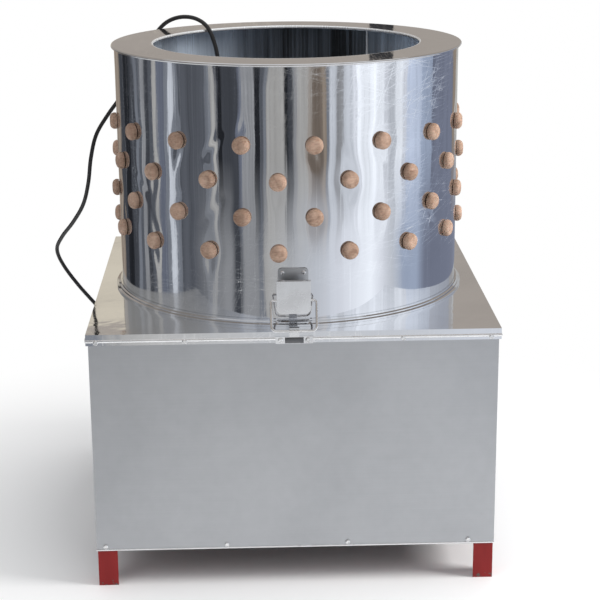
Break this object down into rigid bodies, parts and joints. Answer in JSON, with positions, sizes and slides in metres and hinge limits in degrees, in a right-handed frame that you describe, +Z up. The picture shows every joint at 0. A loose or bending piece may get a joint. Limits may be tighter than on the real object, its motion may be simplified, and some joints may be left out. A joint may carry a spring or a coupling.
{
  "type": "poultry plucker",
  "caption": "Drum poultry plucker: a polished drum lined with rubber fingers over a belt-driven turntable, on a square cabinet with angle legs, a draw latch and a mains lead.",
  "frame": {"origin": "on the floor under the drum's axis, at the middle of the cabinet's base", "axes": "+Z up along the drum's axis, +Y to the back, +X to the right seen from the front"},
  "size_m": [0.737, 0.8377, 0.8229],
  "materials": {
    "polished_steel": "mirror-polished stainless sheet with fine vertical scratches",
    "satin_steel": "satin stainless sheet, slightly mottled",
    "red_paint": "dark red paint, slightly worn",
    "finger_rubber": "tan rubber",
    "machined_steel": "turned steel",
    "cast_grey": "cast iron, machined on its faces",
    "zinc_fasteners": "zinc plated",
    "latch_steel": "bright plated steel",
    "pan_steel": "plain stainless sheet",
    "motor_paint": "grey-blue machine paint",
    "belt_rubber": "black rubber and cord",
    "black_plastic": "moulded black plastic",
    "cord_black": "black flexible sheath",
    "green_plastic": "green push button",
    "red_plastic": "red push button"
  },
  "bodies": {
    "root": {"post_front_left": "red_paint", "post_front_right": "red_paint", "post_rear_left": "red_paint", "post_rear_right": "red_paint", "top_rails": "red_paint", "bottom_rails": "red_paint", "side_rails": "red_paint", "spindle_beams": "red_paint", "motor_rails": "red_paint", "front_panel": "satin_steel", "rear_panel": "satin_steel", "left_panel": "satin_steel", "right_panel": "satin_steel", "top_plate": "polished_steel", "drum_shell": "polished_steel", "drum_rim": "polished_steel", "drum_foot_ring": "polished_steel", "drum_clips": "zinc_fasteners", "wall_fingers_row_1": "finger_rubber", "wall_fingers_row_2": "finger_rubber", "wall_fingers_row_3": "finger_rubber", "wall_fingers_row_4": "finger_rubber", "spindle_housing": "cast_grey", "bearing_outer_rings": "machined_steel", "drive_belt": "belt_rubber", "motor_body": "motor_paint", "motor_end_bells": "motor_paint", "motor_fan_cover": "motor_paint", "motor_terminal_box": "motor_paint", "motor_plate": "red_paint", "frame_bolts": "zinc_fasteners", "feather_pan_wall": "pan_steel", "feather_pan_floor": "pan_steel", "feather_chute": "pan_steel", "latch_base": "latch_steel", "latch_pin": "latch_steel", "latch_catch": "latch_steel", "flange_screws": "zinc_fasteners", "panel_screws": "zinc_fasteners", "switch_box": "black_plastic", "cord_gland": "black_plastic", "power_cord": "cord_black", "plug": "black_plastic"},
    "turntable": {"turntable_disc": "machined_steel", "turntable_fingers_outer": "finger_rubber", "turntable_fingers_inner": "finger_rubber", "turntable_hub": "cast_grey", "hub_bolts": "zinc_fasteners", "cap_nut": "zinc_fasteners", "main_shaft": "machined_steel", "bearing_inner_rings": "machined_steel", "bearing_balls": "machined_steel", "driven_pulley": "cast_grey"},
    "motor_drive": {"motor_rotor": "machined_steel", "motor_fan": "black_plastic", "drive_pulley": "cast_grey"},
    "latch_lever": {"latch_lever": "latch_steel"},
    "latch_bail": {"latch_bail": "latch_steel"},
    "start_button": {"start_button": "green_plastic"},
    "stop_button": {"stop_button": "red_plastic"}
  },
  "joints": [
    {"name": "turntable_spin", "type": "hinge", "parent": "root", "child": "turntable", "pos_m": [0, 0, 0.25], "axis": [0, 0, 1], "continuous": true},
    {"name": "motor_spin", "type": "hinge", "parent": "root", "child": "motor_drive", "pos_m": [-0.165, 0.1894, 0.2], "axis": [0, 0, 1], "continuous": true},
    {"name": "latch_lever_hinge", "type": "hinge", "parent": "root", "child": "latch_lever", "pos_m": [0, -0.291, 0.439], "axis": [1, 0, 0], "range_deg": [0, 90]},
    {"name": "latch_bail_hinge", "type": "hinge", "parent": "latch_lever", "child": "latch_bail", "pos_m": [0, -0.291, 0.45], "axis": [1, 0, 0], "range_deg": [-90, 0]},
    {"name": "start_button_press", "type": "slide", "parent": "root", "child": "start_button", "axis": [0, -1, 0], "range_m": [0, 0.004], "stiffness_N_per_m": 400},
    {"name": "stop_button_press", "type": "slide", "parent": "root", "child": "stop_button", "axis": [0, -1, 0], "range_m": [0, 0.004], "stiffness_N_per_m": 400}
  ],
  "couplings": [
    {"joint": "motor_spin", "follows": "turntable_spin", "ratio": 4.4444},
    {"joint": "latch_bail_hinge", "follows": "latch_lever_hinge", "ratio": -1}
  ]
}
